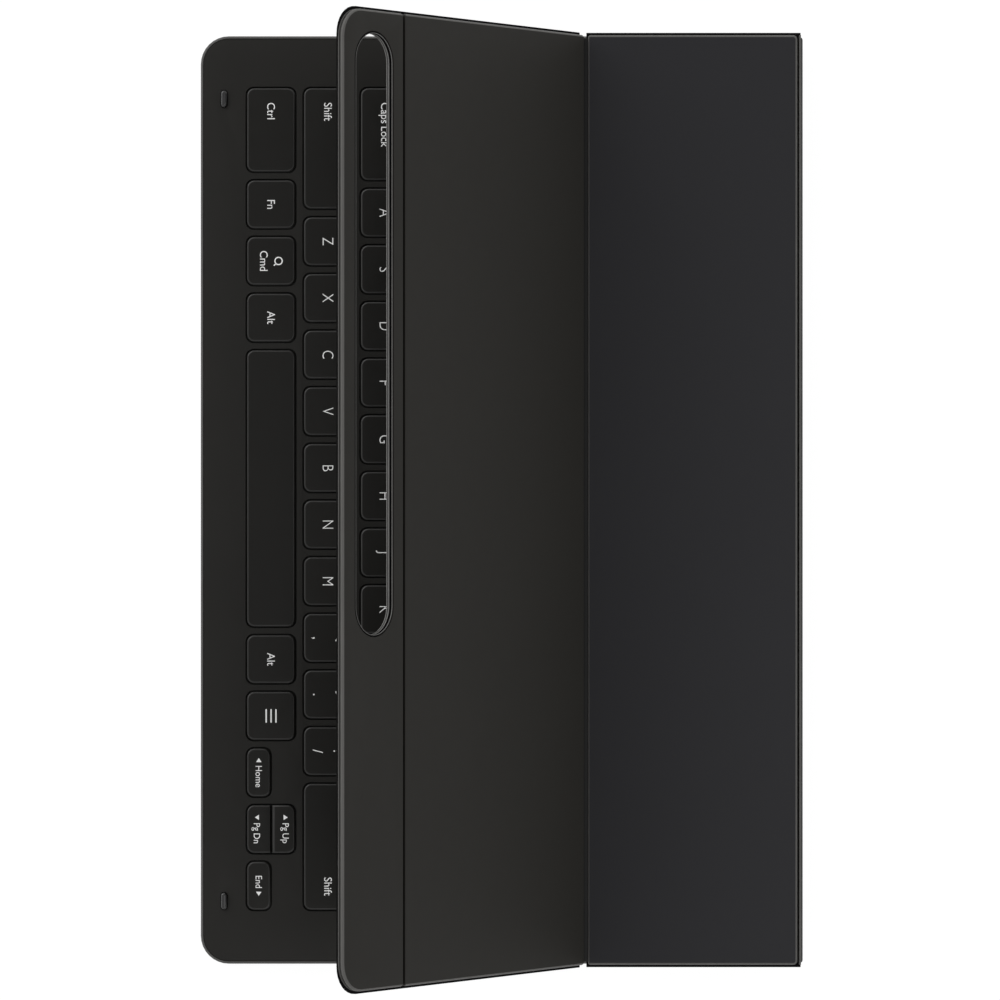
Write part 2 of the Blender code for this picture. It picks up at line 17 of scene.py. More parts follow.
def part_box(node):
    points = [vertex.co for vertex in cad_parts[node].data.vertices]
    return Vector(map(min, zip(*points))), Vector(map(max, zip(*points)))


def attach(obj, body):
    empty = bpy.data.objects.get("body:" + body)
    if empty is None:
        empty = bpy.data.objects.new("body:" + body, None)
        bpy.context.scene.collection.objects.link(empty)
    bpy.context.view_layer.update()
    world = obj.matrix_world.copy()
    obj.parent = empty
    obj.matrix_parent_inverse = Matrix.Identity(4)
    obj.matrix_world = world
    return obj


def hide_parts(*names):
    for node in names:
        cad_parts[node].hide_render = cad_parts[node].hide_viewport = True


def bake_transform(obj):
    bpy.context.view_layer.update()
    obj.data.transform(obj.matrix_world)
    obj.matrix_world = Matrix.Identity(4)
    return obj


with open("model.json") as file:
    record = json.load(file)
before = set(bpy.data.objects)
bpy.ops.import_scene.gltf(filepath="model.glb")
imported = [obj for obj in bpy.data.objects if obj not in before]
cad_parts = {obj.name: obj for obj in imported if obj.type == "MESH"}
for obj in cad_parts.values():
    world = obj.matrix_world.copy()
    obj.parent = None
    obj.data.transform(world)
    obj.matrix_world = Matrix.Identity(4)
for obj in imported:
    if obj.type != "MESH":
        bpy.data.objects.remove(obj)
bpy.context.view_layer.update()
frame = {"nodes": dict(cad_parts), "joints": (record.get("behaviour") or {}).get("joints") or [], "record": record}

MM = 0.001

# Camera: straight above the case, with the typist's left at the top of the picture
CAMERA_PLACE = (0.0, -0.285, 1628.3)
FOCAL_LENGTH = 190.3
VIEW_RANGE = 100000.0

# Light, as radiance
ZENITH_GLOW = 0.4
FRONT_GLOW = 2.6
REAR_GLOW = 1.0
SIDE_GLOW = 0.7
GLOW_POWER = 2.0
FRONT_SOFTBOX = ((-1000.0, -1000.0, 900.0), (1400.0, 600.0), 3.2)
REAR_SOFTBOX = ((400.0, 500.0, 1400.0), (1100.0, 1100.0), 1.6)

# Floor
FLOOR_SIZE = 30000.0
FLOOR_DROP = 0.2
FLOOR_ALBEDO = 0.8
FLOOR_SHADED = 0.13
FLOOR_WHITE = 0.92

# Keyboard tray and deck
FRONT_CORNER = 8.6
REAR_CORNER = 1.5
RIM = 0.85
RIM_CHAMFER = 0.6
RIM_INNER_ROUND = 0.12
TRAY_FLOOR = 0.9
TRAY_UNDER_ROUND = 0.8
PARTING_LINE = (0.12, 0.16)
PARTING_HEIGHT = 2.6
DECK_SEAM = 0.12
DECK_ROUND = 0.1

# Keys
KEY_GAP = 0.5
KEY_CORNER = 2.2
SQUARE_CORNER = 0.25
KEY_ROUND = 0.46
KEY_ROUND_DROP = 0.25
KEY_THICK = 1.2
SKIRT = 0.38
SKIRT_DROP = 0.7
SKIRT_SLOPE = 0.15
SPLIT_SKIRT = 0.15
SPLIT_SHARE = 2.0
SPLIT_DROP = 0.3
DOWN_SHARE = 0.3

# Legends, by the height of a capital
LETTER = 3.4
PAIR = 3.0
WORD = 2.35
SMALL_WORD = 1.95
FUNCTION_WORD = 2.0
FONT_CAPITAL = 0.682
WORD_SPACE = 0.8
LETTER_WIDTH = 0.82
WORD_WIDTH = 0.94
LETTER_THINNING = 0.07
LEGEND_PROUD = 0.03
LEGEND_MARGIN = 4.3
PAIR_LOW = 2.7
PAIR_HIGH = 9.0
ARROW = (1.67, 1.28)
ARROW_SPACE = 1.17
UP_LEGEND_SHIFT = 0.7
DOWN_LEGEND_SHIFT = -0.58
COMMAND_LOW = 3.4
LENS_HIGH = 2.3
LENS = (1.3, 0.36)
HANDLE = (0.85, 1.45, 0.13)
MENU_BAR = (4.2, 0.44)
MENU_PITCH = 1.5

# Bumpers, docking bar and contacts
BUMPER_ROUND = 0.75
BUMPER_INSET = 0.12
BUMPER_GAP = 0.1
DOCK = (236.0, 8.0)
DOCK_ROUND = 0.9
DOCK_GAP = 0.3
BLOCK_ROUND = 0.2
PIN_HOLE = 0.15
PIN_ROUND_SHARE = 0.8

# Cover panels, in layers down from the outer face
FLAP_LENGTH = 28.6
FLAP_CORNER = 8.5
FOLD_CORNER = 0.7
STAND_CORNER = 1.3
FACE_ROUND = 0.6
SKIN_PLATE = 0.7
SKIN_WALL = 0.7
LEDGE = 0.85
FREE_LEDGE = 0.2
LINING_TOP = 1.95
LINING_PROUD = 0.22
LINING_ROUND = 0.06
LINING_CORNER = 0.1
LINING_GAP = 0.05
BOARD_GAP = 0.05
FOLD_SHARE = 0.08
CREASE_SHARE = 0.6
FOLD_REACH = 0.35
CREASE_HALF = 0.8
GROOVE_HALF = 0.5
CREASE_LINING = 0.3
STAND_OVERLAP = 0.35
SLOT_WIDTH = 17.4
SLOT_SHIFT = 0.4
SLOT_CLEARANCE = 0.3
SLOT_ROUND = 0.12

# Section of a panel's wall, as (inset, depth): a ridge, then a seam, then the wall up to the face
WALL_SECTION = ((0.1, 1.9), (0.02, 1.86), (0.02, 1.62), (0.1, 1.58), (0.55, 1.56), (0.55, 0.86), (0.0, 0.8))

# Section of the slot's trim, as (inset, depth): its back, a lip at the face, a channel and a seamed band
TRIM_BACK = ((-0.2, 2.27), (-0.2, 1.3), (-0.2, 0.2), (0.16, 0.2))
TRIM_LIP = ((0.16, 0.1), (0.2, 0.04), (0.32, 0.04), (0.36, 0.09))
TRIM_CHANNEL = ((0.36, 0.24), (-0.1, 0.4), (-0.1, 1.12))
TRIM_BAND = (
    *((0.3, 1.14), (0.36, 1.2), (0.36, 1.52), (0.1, 1.56)),
    *((0.1, 1.84), (0.36, 1.88), (0.36, 2.2), (0.28, 2.27)),
)

# Webs at the folds
WEB_HALF = 1.6
WEB_DEPTH = 0.8
WEB_THICK = 0.4
WEB_SIDE_GAP = 0.3
BEAD_END = 0.65
BEAD_END_REACH = 1.45
# Where the painted shade begins on the rear side of the stand's bead
BEAD_PAINTED_SHADE = 1.5
BEAD_WALL = 0.65
STAND_TAIL = 1.4
SPINE_GAP = 0.3
SPINE_TOP_GAP = 0.45
SPINE_ROUND = 0.25
SPINE_INNER = 0.4
SPINE_INNER_TOP = 1.3
SPINE_LAYER_GAP = 0.1

# Sections of the beads along the spine, as (y, z) about the fold's axis
STAND_BEAD_LAP = -0.35
STAND_BEAD_MIDDLE = (1.1, 0.95)
STAND_BEAD_RISE = 1.05
STAND_BEAD_INNER = ((0.95, 1.93), (0.84, 1.75), (0.84, 1.0), (1.0, 0.9), (1.25, 0.5))
BASE_BEAD_LAP = 0.2
BASE_BEAD_MIDDLE = (0.6, -0.9)
BASE_BEAD_FALL = 1.3
BASE_BEAD_TAIL = ((-0.2, -1.6), (-0.2, -2.15))
BASE_BEAD_NOTCH = (0.7, -0.7)
BASE_BEAD_INNER = (0.5, -1.6)

# Straight steps in round shapes, and the least radius of a corner that an inset leaves
CORNER_STEPS = 8
KEY_STEPS = 6
EDGE_STEPS = 5
SLOT_STEPS = 20
PIN_SIDES = 24
BEAD_STEPS = 6
LETTER_STEPS = 4
LEAST_RADIUS = 0.05
SHARP_ANGLE = 38.0

# Most of a noise texture's values lie between these
NOISE_MIDDLE = (0.3, 0.7)

# How flat faces are filled: only inside their outlines, with points this close taken as one
INSIDE = 1
SAME_POINT = 1e-6


def low(node):
    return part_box(node)[0] / MM


def high(node):
    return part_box(node)[1] / MM


# Places from the frame
JOINTS = {joint["name"]: joint for joint in frame["joints"]}
SPINE_AXIS = Vector(JOINTS["fold_spine"]["pos_m"]) / MM
STAND_AXIS = Vector(JOINTS["fold_stand"]["pos_m"]) / MM
CREASE = Vector(JOINTS["fold_back"]["pos_m"]) / MM
GROOVE = Vector(JOINTS["fold_flap"]["pos_m"]) / MM
FOLD = radians(JOINTS["fold_back"]["range_deg"][1])
STAND_LENGTH = STAND_AXIS.y - CREASE.y
BACK_LENGTH = (GROOVE - CREASE).length
COVER_HALF = high("stand_lining").x + LINING_PROUD
SKIN_HALF = COVER_HALF - LEDGE
COVER_THICK = CREASE.z - low("stand_lining").z
SPINE_HALF = high("spine_skin").x
SPINE_THICK = high("spine_skin").y - SPINE_AXIS.y
SPINE_TALL = STAND_AXIS.z - SPINE_AXIS.z
TRAY_LOW = low("bottom_cover")
TRAY_HIGH = high("bottom_cover")
DECK_TOP = high("key_deck").z
DECK_UNDER = low("key_deck").z
KEY_TOP = high("key_z").z
KEY_PITCH = low("key_x").x - low("key_z").x
KEY_SPACE = KEY_PITCH - (high("key_z").x - low("key_z").x)
DOCK_Y = (low("pogo_block").y + high("pogo_block").y) / 2
SLOT_X = (low("slot_trim").x + high("slot_trim").x) / 2
SLOT_HALF = (high("slot_trim").x - low("slot_trim").x) / 2 + SLOT_CLEARANCE
SLOT_Y = -BACK_LENGTH - FLAP_LENGTH / 2 + SLOT_SHIFT

# A panel's own frame has its origin on the crease, Y towards the spine and Z out of the outer face.
FLAT = Matrix.Translation(CREASE)
TILTED = FLAT @ Matrix.Rotation(-FOLD, 4, "X")
UPRIGHT = Matrix.Translation(SPINE_AXIS) @ Matrix(((-1, 0, 0, 0), (0, 0, 1, 0), (0, 1, 0, 0), (0, 0, 0, 1)))

# Legends of the keys that move alone, and of the rows that move as one. A pair is (plain, shifted).
KEY_LEGENDS = {
    "key_ctrl": "Ctrl",
    "key_fn": "Fn",
    "key_alt_left": "Alt",
    "key_alt_right": "Alt",
    "key_shift_left": "Shift",
    "key_shift_right": "Shift",
    "key_comma": (",", "<"),
    "key_period": (".", ">"),
    "key_slash": ("/", "?"),
    **{f"key_{letter.lower()}": letter for letter in "ZXCVBNM"},
}
ROW_LEGENDS = {
    "key_row_home": (1.775, ["Caps Lock", *"ASDFGHJKL", (";", ":"), ("'", '"'), "Enter"]),
    "key_row_tab": (1.53, ["Tab", *"QWERTYUIOP", ("[", "{"), ("]", "}"), ("\\", "|")]),
    "key_row_number": (1.03, [("`", "~"), *zip("1234567890-=", "!@#$%^&*()_+"), "Backspace"]),
    "key_row_function": (None, ["Esc", *(f"F{number}" for number in range(1, 13)), "Del"]),
}
LEFT_WORDS = ("Ctrl", "Shift", "Caps Lock", "Tab")
RIGHT_WORDS = ("Enter", "Backspace")


# Outlines: an outline is a function from an inset to (x, y) points that run anticlockwise


def outline(x0, x1, y0, y1, front, rear=None, shares=(1.0, 1.0), steps=CORNER_STEPS):
    """A rectangle with round corners. Its front and rear edges move in by their shares of an inset."""
    rear = front if rear is None else rear

    def at(inset):
        left, right = x0 + inset, x1 - inset
        front_share, rear_share = shares if inset > 0 else (1.0, 1.0)
        near, far = y0 + front_share * inset, y1 - rear_share * inset
        front_radius, rear_radius = (max(radius - inset, LEAST_RADIUS) for radius in (front, rear))
        corners = (
            (left + front_radius, near + front_radius, front_radius, pi),
            (right - front_radius, near + front_radius, front_radius, 1.5 * pi),
            (right - rear_radius, far - rear_radius, rear_radius, 0.0),
            (left + rear_radius, far - rear_radius, rear_radius, 0.5 * pi),
        )
        turns = [(pi / 2) * step / steps for step in range(steps + 1)]
        return [
            (x + radius * cos(start + turn), y + radius * sin(start + turn))
            for x, y, radius, start in corners
            for turn in turns
        ]

    return at


def node_outline(node, radius, grow=0.0, steps=CORNER_STEPS):
    """The outline round a node's box, seen from above."""
    start, end = low(node), high(node)
    return outline(start.x - grow, end.x + grow, start.y - grow, end.y + grow, radius, steps=steps)


def circle(x, y, radius):
    def at(inset):
        turns = (2 * pi * side / PIN_SIDES for side in range(PIN_SIDES))
        return [(x + (radius - inset) * cos(turn), y + (radius - inset) * sin(turn)) for turn in turns]

    return at


def round_edge(side, face, radius, inward=1, upward=1, drop=None):
    """Levels (inset, z) round an edge, from a wall at an inset to a face at a height."""
    drop = radius if drop is None else drop
    turns = [(pi / 2) * step / EDGE_STEPS for step in range(EDGE_STEPS + 1)]
    return [
        (side + inward * radius * (1 - cos(turn)), face - upward * drop * (1 - sin(turn)))
        for turn in turns
    ]


# Meshes


def add_rings(mesh, shape, levels):
    return [[mesh.verts.new((x, y, z)) for x, y in shape(inset)] for inset, z in levels]


def add_walls(mesh, rings, finish=0):
    for lower, upper in zip(rings, rings[1:]):
        for i, corner in enumerate(lower):
            after = (i + 1) % len(lower)
            face = mesh.faces.new((corner, lower[after], upper[after], upper[i]))
            face.smooth = True
            face.material_index = finish


def add_cap_face(mesh, loops):
    """Fills the flat face inside the first loop and outside the others."""
    corners = [corner for loop in loops for corner in loop]
    owners = [number for number, loop in enumerate(loops) for _ in loop]
    sides = []
    for loop in loops:
        first = len(sides)
        sides += [(first + i, first + (i + 1) % len(loop)) for i in range(len(loop))]
    filled = delaunay_2d_cdt([corner.co.xy for corner in corners], sides, [], INSIDE, SAME_POINT, True)
    places = [origins[0] for origins in filled[3]]
    for triangle in filled[2]:
        around = [places[i] for i in triangle]
        found = {owners[i] for i in around}
        if len(found) > 1 or 0 in found:
            mesh.faces.new([corners[i] for i in around])


def add_solid(mesh, shape, levels, holes=(), wall_finish=0):
    """Adds a closed solid through an outline's levels, with holes (outline, levels) from end to end."""
    shells = [add_rings(mesh, *part) for part in ((shape, levels), *holes)]
    add_walls(mesh, shells[0], wall_finish)
    for rings in shells[1:]:
        add_walls(mesh, rings)
    for end in (0, -1):
        add_cap_face(mesh, [rings[end] for rings in shells])


def add_hoop(mesh, shape, *parts):
    """Adds a closed ring. Its section is a loop of parts (levels, finish)."""
    rings = add_rings(mesh, shape, [level for levels, _ in parts for level in levels])
    finishes = [finish for levels, finish in parts for _ in levels]
    for ring, after, finish in zip(rings, rings[1:] + rings[:1], finishes):
        add_walls(mesh, [ring, after], finish)


def add_strip(mesh, profile, ends):
    """Adds a closed strip along X. Its (y, z) profile is cut short at each (x, reach) of the ends."""
    rings = [[mesh.verts.new((x, min(y, reach), z)) for y, z in profile] for x, reach in ends]
    add_walls(mesh, rings)
    mesh.faces.new(rings[0])
    mesh.faces.new(rings[-1])


def add_prism(mesh, points, base, top):
    rings = [[mesh.verts.new((x, y, z)) for x, y in points] for z in (base, top)]
    add_walls(mesh, rings)
    mesh.faces.new(rings[0])
    mesh.faces.new(rings[1])


def make_piece(name, mesh, finish, matrix=Matrix(), wall_finish=None):
    """Turns a mesh into an object. Its walls are smooth up to a sharp angle, and its end faces are flat."""
    bmesh.ops.transform(mesh, matrix=Matrix.Scale(MM, 4) @ matrix, verts=mesh.verts)
    bmesh.ops.recalc_face_normals(mesh, faces=mesh.faces)
    data = bpy.data.meshes.new(name)
    mesh.to_mesh(data)
    mesh.free()
    data.set_sharp_from_angle(angle=radians(SHARP_ANGLE))
    data.materials.append(finish)
    if wall_finish is not None:
        data.materials.append(wall_finish)
    made = bpy.data.objects.new(name, data)
    bpy.context.scene.collection.objects.link(made)
    return made


def place_piece(made, body, slot, *nodes):
    """Says what a piece moves with, and hides the nodes that it stands for. Its slot is not used."""
    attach(made, body)
    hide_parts(*nodes)


# Finishes


class Finish:
    """A procedural material, and the few moves that its details are made with."""

    def __init__(self, name, roughness, specular=0.5, metallic=0.0):
        self.material = bpy.data.materials.new(name)
        self.material.use_nodes = True
        self.tree = self.material.node_tree
        self.shader = self.tree.nodes["Principled BSDF"]
        self.shader.inputs["Roughness"].default_value = roughness
        self.shader.inputs["Specular IOR Level"].default_value = specular
        self.shader.inputs["Metallic"].default_value = metallic
        self.place = self.tree.nodes.new("ShaderNodeTexCoord").outputs["Object"]

    def node(self, kind, **inputs):
        made = self.tree.nodes.new(kind)
        for name, value in inputs.items():
            made.inputs[name].default_value = value
        return made

    def noise(self, size, detail=2.0, stretch=(1.0, 1.0, 1.0)):
        """Noise whose features are about a size across, drawn out along an axis by its stretch."""
        mapping = self.node("ShaderNodeMapping", Scale=[1 / (size * MM * share) for share in stretch])
        made = self.node("ShaderNodeTexNoise", Scale=1.0, Detail=detail)
        self.tree.links.new(self.place, mapping.inputs["Vector"])
        self.tree.links.new(mapping.outputs["Vector"], made.inputs["Vector"])
        return made.outputs["Fac"]

    def spread(self, source, start, end):
        """A number that runs from start to end over the middle of a noise's range."""
        made = self.node("ShaderNodeMapRange")
        ends = dict(zip(("From Min", "From Max", "To Min", "To Max"), (*NOISE_MIDDLE, start, end)))
        for name, value in ends.items():
            made.inputs[name].default_value = value
        self.tree.links.new(source, made.inputs["Value"])
        return made.outputs["Result"]

    def colour(self, source, start, end):
        mix = self.node("ShaderNodeMix")
        mix.data_type = "RGBA"
        colours = [socket for socket in mix.inputs if socket.type == "RGBA"]
        colours[0].default_value = (*start, 1.0)
        colours[1].default_value = (*end, 1.0)
        self.tree.links.new(self.spread(source, 0.0, 1.0), mix.inputs["Factor"])
        result = next(socket for socket in mix.outputs if socket.type == "RGBA")
        self.tree.links.new(result, self.shader.inputs["Base Color"])

    def roughness(self, source, start, end):
        self.tree.links.new(self.spread(source, start, end), self.shader.inputs["Roughness"])

    def bump(self, source, depth, strength=1.0):
        made = self.node("ShaderNodeBump", Strength=strength, Distance=depth * MM)
        self.tree.links.new(source, made.inputs["Height"])
        self.tree.links.new(made.outputs["Normal"], self.shader.inputs["Normal"])


def shades(colour, spread):
    """A darker and a lighter shade of a colour."""
    return [tuple(share * (1 + side * spread) for share in colour) for side in (-1, 1)]


def moulded_plastic(name, colour, roughness, specular):
    """Fine matt moulded plastic: a spark-eroded grain and a faint unevenness of shade."""
    made = Finish(name, roughness, specular)
    clouds = made.noise(22.0, 3.0)
    made.colour(clouds, *shades(colour, 0.06))
    made.roughness(made.noise(6.0), roughness - 0.04, roughness + 0.04)
    made.bump(made.noise(0.22), 0.006)
    return made.material


def coated_skin(name, colour):
    """The cover's outer skin: soft-touch coated sheet with a leather-fine pebble."""
    made = Finish(name, 0.5, 0.12)
    made.colour(made.noise(35.0, 3.0), *shades(colour, 0.02))
    made.roughness(made.noise(4.0), 0.485, 0.515)
    made.bump(made.noise(0.3, 3.0), 0.008)
    return made.material


def cover_edge():
    """The panels' pressed and sealed edges: smoother than the skin, and paler, which partly paints in the
    highlight that the walls and round edges catch.
    """
    made = Finish("cover edge and painted highlight", 0.5, 0.2)
    made.colour(made.noise(3.0, 3.0, (4.0, 1.0, 1.0)), *shades((0.085, 0.083, 0.079), 0.05))
    made.roughness(made.noise(2.0), 0.47, 0.53)
    made.bump(made.noise(0.25), 0.004)
    return made.material


def suede_lining():
    """The inner lining: short brushed fibre that darkens and lightens with its nap."""
    made = Finish("cover lining", 0.9, 0.04)
    made.colour(made.noise(5.0, 4.0, (2.0, 1.0, 1.0)), (0.003, 0.003, 0.003), (0.006, 0.006, 0.006))
    made.bump(made.noise(0.25, 2.0, (3.0, 1.0, 1.0)), 0.03)
    return made.material


def hinge_web(name, colour):
    made = Finish(name, 0.5, 0.2)
    made.colour(made.noise(12.0), *shades(colour, 0.08))
    made.bump(made.noise(0.4, 2.0, (1.0, 3.0, 3.0)), 0.012)
    return made.material


def bumper_rubber():
    made = Finish("bumper rubber", 0.32, 0.6)
    made.colour(made.noise(1.5), *shades((0.013, 0.013, 0.013), 0.1))
    made.bump(made.noise(0.2), 0.01)
    return made.material


def legend_ink():
    """White laser-etched print, a little uneven."""
    made = Finish("legend ink", 0.6, 0.3)
    made.colour(made.noise(0.6), (0.82, 0.82, 0.81), (0.88, 0.88, 0.87))
    made.bump(made.noise(0.15), 0.004)
    return made.material


def slot_trim():
    made = Finish("slot trim", 0.5, 0.3)
    made.colour(made.noise(8.0), *shades((0.09, 0.0885, 0.085), 0.06))
    made.roughness(made.noise(3.0), 0.46, 0.54)
    made.bump(made.noise(0.2), 0.004)
    return made.material


def sheet_metal(name, colour, roughness):
    """Rolled or plated metal, with fine lines along X."""
    made = Finish(name, roughness, 0.5, 1.0)
    lines = made.noise(0.25, 3.0, (40.0, 1.0, 1.0))
    made.colour(lines, *shades(colour, 0.06))
    made.roughness(lines, roughness - 0.06, roughness + 0.06)
    made.bump(lines, 0.003)
    return made.material


def pale_sheet(name, colour, roughness):
    """Translucent-looking film or rubber with a faint cloudiness."""
    made = Finish(name, roughness)
    made.colour(made.noise(4.0, 3.0), *shades(colour, 0.05))
    made.bump(made.noise(0.5), 0.01)
    return made.material


def circuit_board():
    made = Finish("circuit board", 0.45)
    tracks = made.noise(1.2, 1.0, (6.0, 1.0, 1.0))
    made.colour(tracks, (0.012, 0.085, 0.035), (0.03, 0.16, 0.07))
    made.bump(tracks, 0.02)
    return made.material


def stiffener_board():
    made = Finish("stiffener board", 0.75, 0.3)
    made.colour(made.noise(0.8, 4.0), *shades((0.24, 0.23, 0.21), 0.12))
    made.bump(made.noise(0.4, 3.0), 0.02)
    return made.material


def make_finishes():
    """The finishes by the record's material slot, one more of the keys and three more of the cover."""
    key_colour = (0.0066, 0.0062, 0.0051)
    return {
        "shell": moulded_plastic("charcoal shell", (0.034, 0.033, 0.0305), 0.4, 0.4),
        "deck": moulded_plastic("charcoal deck", (0.0122, 0.0116, 0.0101), 0.5, 0.2),
        "key_cap": moulded_plastic("key cap", key_colour, 0.42, 0.22),
        "key_edge": moulded_plastic("key edge", key_colour, 0.38, 0.5),
        "bumper_rubber": bumper_rubber(),
        "backing_steel": sheet_metal("backing steel", (0.52, 0.53, 0.55), 0.38),
        "membrane_film": pale_sheet("membrane film", (0.72, 0.75, 0.71), 0.35),
        # The dome sheet is given a near-black colour so that the gaps round the keys show as shade: painted shade.
        "dome_silicone": pale_sheet("dome silicone", (0.035, 0.035, 0.036), 0.6),
        "circuit_board": circuit_board(),
        "magnet_nickel": sheet_metal("magnet nickel", (0.58, 0.58, 0.58), 0.28),
        "contact_gold": sheet_metal("contact gold", (0.80, 0.60, 0.24), 0.25),
        "contact_block": moulded_plastic("contact block", (0.012, 0.012, 0.012), 0.5, 0.4),
        # The cover skin and the stand skin are one sheet in two painted colours: the stand's copy is lighter and
        # cooler for the overhead light it faces, and the other copy is warmer and darker. This is painted light.
        "cover_skin": coated_skin("cover skin", (0.0166, 0.0157, 0.0136)),
        "stand_skin": coated_skin("stand skin painted lighter and cooler", (0.0195, 0.0195, 0.0216)),
        # The edge finish is a pressed edge, and its paleness is partly painted highlight.
        "cover_edge": cover_edge(),
        "stiffener_board": stiffener_board(),
        "cover_lining": suede_lining(),
        # The hinge web's colour is darker than the skin it continues: painted shade in the crease and groove.
        "hinge_web": hinge_web("hinge web", (0.006, 0.0059, 0.0057)),
        # The beads are the hinge web's skin painted pale: a painted highlight along their crests.
        "spine_bead": hinge_web("spine bead painted highlight", (0.08, 0.0785, 0.0745)),
        "slot_trim": slot_trim(),
    }


def finish_nodes(finishes):
    """Gives every CAD node the finish of its slot, for those that stay to be seen."""
    for part in frame["record"]["subparts"]:
        node = frame["nodes"][part["node"]]
        for slot in node.material_slots:
            slot.material = finishes[part["material_slot"]]


# Keyboard half


def build_tray(finish):
    """The tray: a shallow shell with a chamfered rim and a parting line along its side."""
    shape = outline(TRAY_LOW.x, TRAY_HIGH.x, TRAY_LOW.y, TRAY_HIGH.y, FRONT_CORNER, REAR_CORNER)
    depth, width = PARTING_LINE
    line_low, line_high = PARTING_HEIGHT - width / 2, PARTING_HEIGHT + width / 2
    levels = [
        (RIM, TRAY_FLOOR),
        *round_edge(RIM, TRAY_HIGH.z, RIM_INNER_ROUND, inward=-1),
        (RIM_CHAMFER, TRAY_HIGH.z),
        (0.0, TRAY_HIGH.z - RIM_CHAMFER),
        (0.0, line_high),
        (depth, line_high - width / 4),
        (depth, line_low + width / 4),
        (0.0, line_low),
        *round_edge(0.0, 0.0, TRAY_UNDER_ROUND, upward=-1),
    ]
    mesh = bmesh.new()
    add_solid(mesh, shape, levels)
    place_piece(make_piece("tray_shell", mesh, finish), "keyboard", "shell", "bottom_cover")


def build_deck(finish, keys):
    """The deck, with a window round each key, each bumper and the docking bar."""
    inset = RIM + DECK_SEAM
    shape = outline(
        TRAY_LOW.x + inset,
        TRAY_HIGH.x - inset,
        TRAY_LOW.y + inset,
        TRAY_HIGH.y - inset,
        FRONT_CORNER - inset,
        REAR_CORNER - inset,
    )
    levels = [(0.0, DECK_UNDER), *round_edge(0.0, DECK_TOP, DECK_ROUND)]
    window_levels = [(0.0, DECK_UNDER), *round_edge(0.0, DECK_TOP, DECK_ROUND, inward=-1)]
    radius = KEY_CORNER + KEY_GAP / 2
    windows = [
        outline(x0 - KEY_GAP, x1 + KEY_GAP, y0 - KEY_GAP, y1 + KEY_GAP, radius, steps=KEY_STEPS)
        for x0, x1, y0, y1 in keys
    ]
    for side in ("left", "right"):
        node = f"front_bumper_{side}"
        half = (high(node).y - low(node).y) / 2
        grow = BUMPER_GAP - BUMPER_INSET
        windows.append(node_outline(node, half + grow, grow))
    length, depth = DOCK
    half, reach = length / 2 + DOCK_GAP, depth / 2 + DOCK_GAP
    windows.append(outline(-half, half, DOCK_Y - reach, DOCK_Y + reach, DOCK_ROUND))
    mesh = bmesh.new()
    add_solid(mesh, shape, levels, [(window, window_levels) for window in windows])
    place_piece(make_piece("deck_plate", mesh, finish), "keyboard", "deck", "key_deck")


def build_bumpers(finish):
    for side in ("left", "right"):
        node = f"front_bumper_{side}"
        half = (high(node).y - low(node).y) / 2
        levels = [(BUMPER_INSET, DECK_UNDER), *round_edge(BUMPER_INSET, high(node).z, BUMPER_ROUND)]
        mesh = bmesh.new()
        add_solid(mesh, node_outline(node, half), levels)
        place_piece(make_piece(f"bumper_{side}", mesh, finish), "keyboard", "bumper_rubber", node)


def build_dock(bar_finish, block_finish, pin_finish):
    """The docking bar, with the contact block sunk in it and its pins."""
    length, depth = DOCK
    shape = outline(-length / 2, length / 2, DOCK_Y - depth / 2, DOCK_Y + depth / 2, DOCK_ROUND)
    base, top = low("docking_bar").z, high("docking_bar").z
    window = node_outline("pogo_block", BLOCK_ROUND, DOCK_GAP)
    window_levels = [(0.0, base), *round_edge(0.0, top, BLOCK_ROUND, inward=-1)]
    mesh = bmesh.new()
    add_solid(mesh, shape, [(0.0, base), *round_edge(0.0, top, DOCK_ROUND)], [(window, window_levels)])
    place_piece(make_piece("dock_bar", mesh, bar_finish), "keyboard", "shell", "docking_bar")

    sides = ("left", "middle", "right")
    pins = {side: (low(f"pogo_pin_{side}") + high(f"pogo_pin_{side}")) / 2 for side in sides}
    radius = (high("pogo_pin_left").x - low("pogo_pin_left").x) / 2
    base, top = low("pogo_block").z, high("pogo_block").z
    levels = [(0.0, base), *round_edge(0.0, top, BLOCK_ROUND)]
    hole_levels = [(0.0, base), *round_edge(0.0, top, PIN_HOLE, inward=-1)]
    holes = [(circle(pin.x, pin.y, radius + PIN_HOLE), hole_levels) for pin in pins.values()]
    mesh = bmesh.new()
    add_solid(mesh, node_outline("pogo_block", BLOCK_ROUND), levels, holes)
    place_piece(make_piece("contact_block", mesh, block_finish), "keyboard", "contact_block", "pogo_block")
    for side, pin in pins.items():
        node = f"pogo_pin_{side}"
        levels = [(0.0, low(node).z), *round_edge(0.0, high(node).z, PIN_ROUND_SHARE * radius)]
        mesh = bmesh.new()
        add_solid(mesh, circle(pin.x, pin.y, radius), levels)
        place_piece(make_piece(f"contact_pin_{side}", mesh, pin_finish), node, "contact_gold", node)


# Keys and their legends


def node_edges(node):
    return low(node).x, high(node).x, low(node).y, high(node).y


def row_keys(node):
    """The legend and the (x0, x1, y0, y1) of each key of a row that moves as one."""
    first, legends = ROW_LEGENDS[node]
    x0, x1, y0, y1 = node_edges(node)
    pitch = KEY_PITCH if first else (x1 - x0 + KEY_SPACE) / len(legends)
    left = x0
    for number, legend in enumerate(legends):
        width = (first if first and number == 0 else 1.0) * pitch
        right = x1 if number == len(legends) - 1 else left + width - KEY_SPACE
        yield legend, (left, right, y0, y1)
        left += width


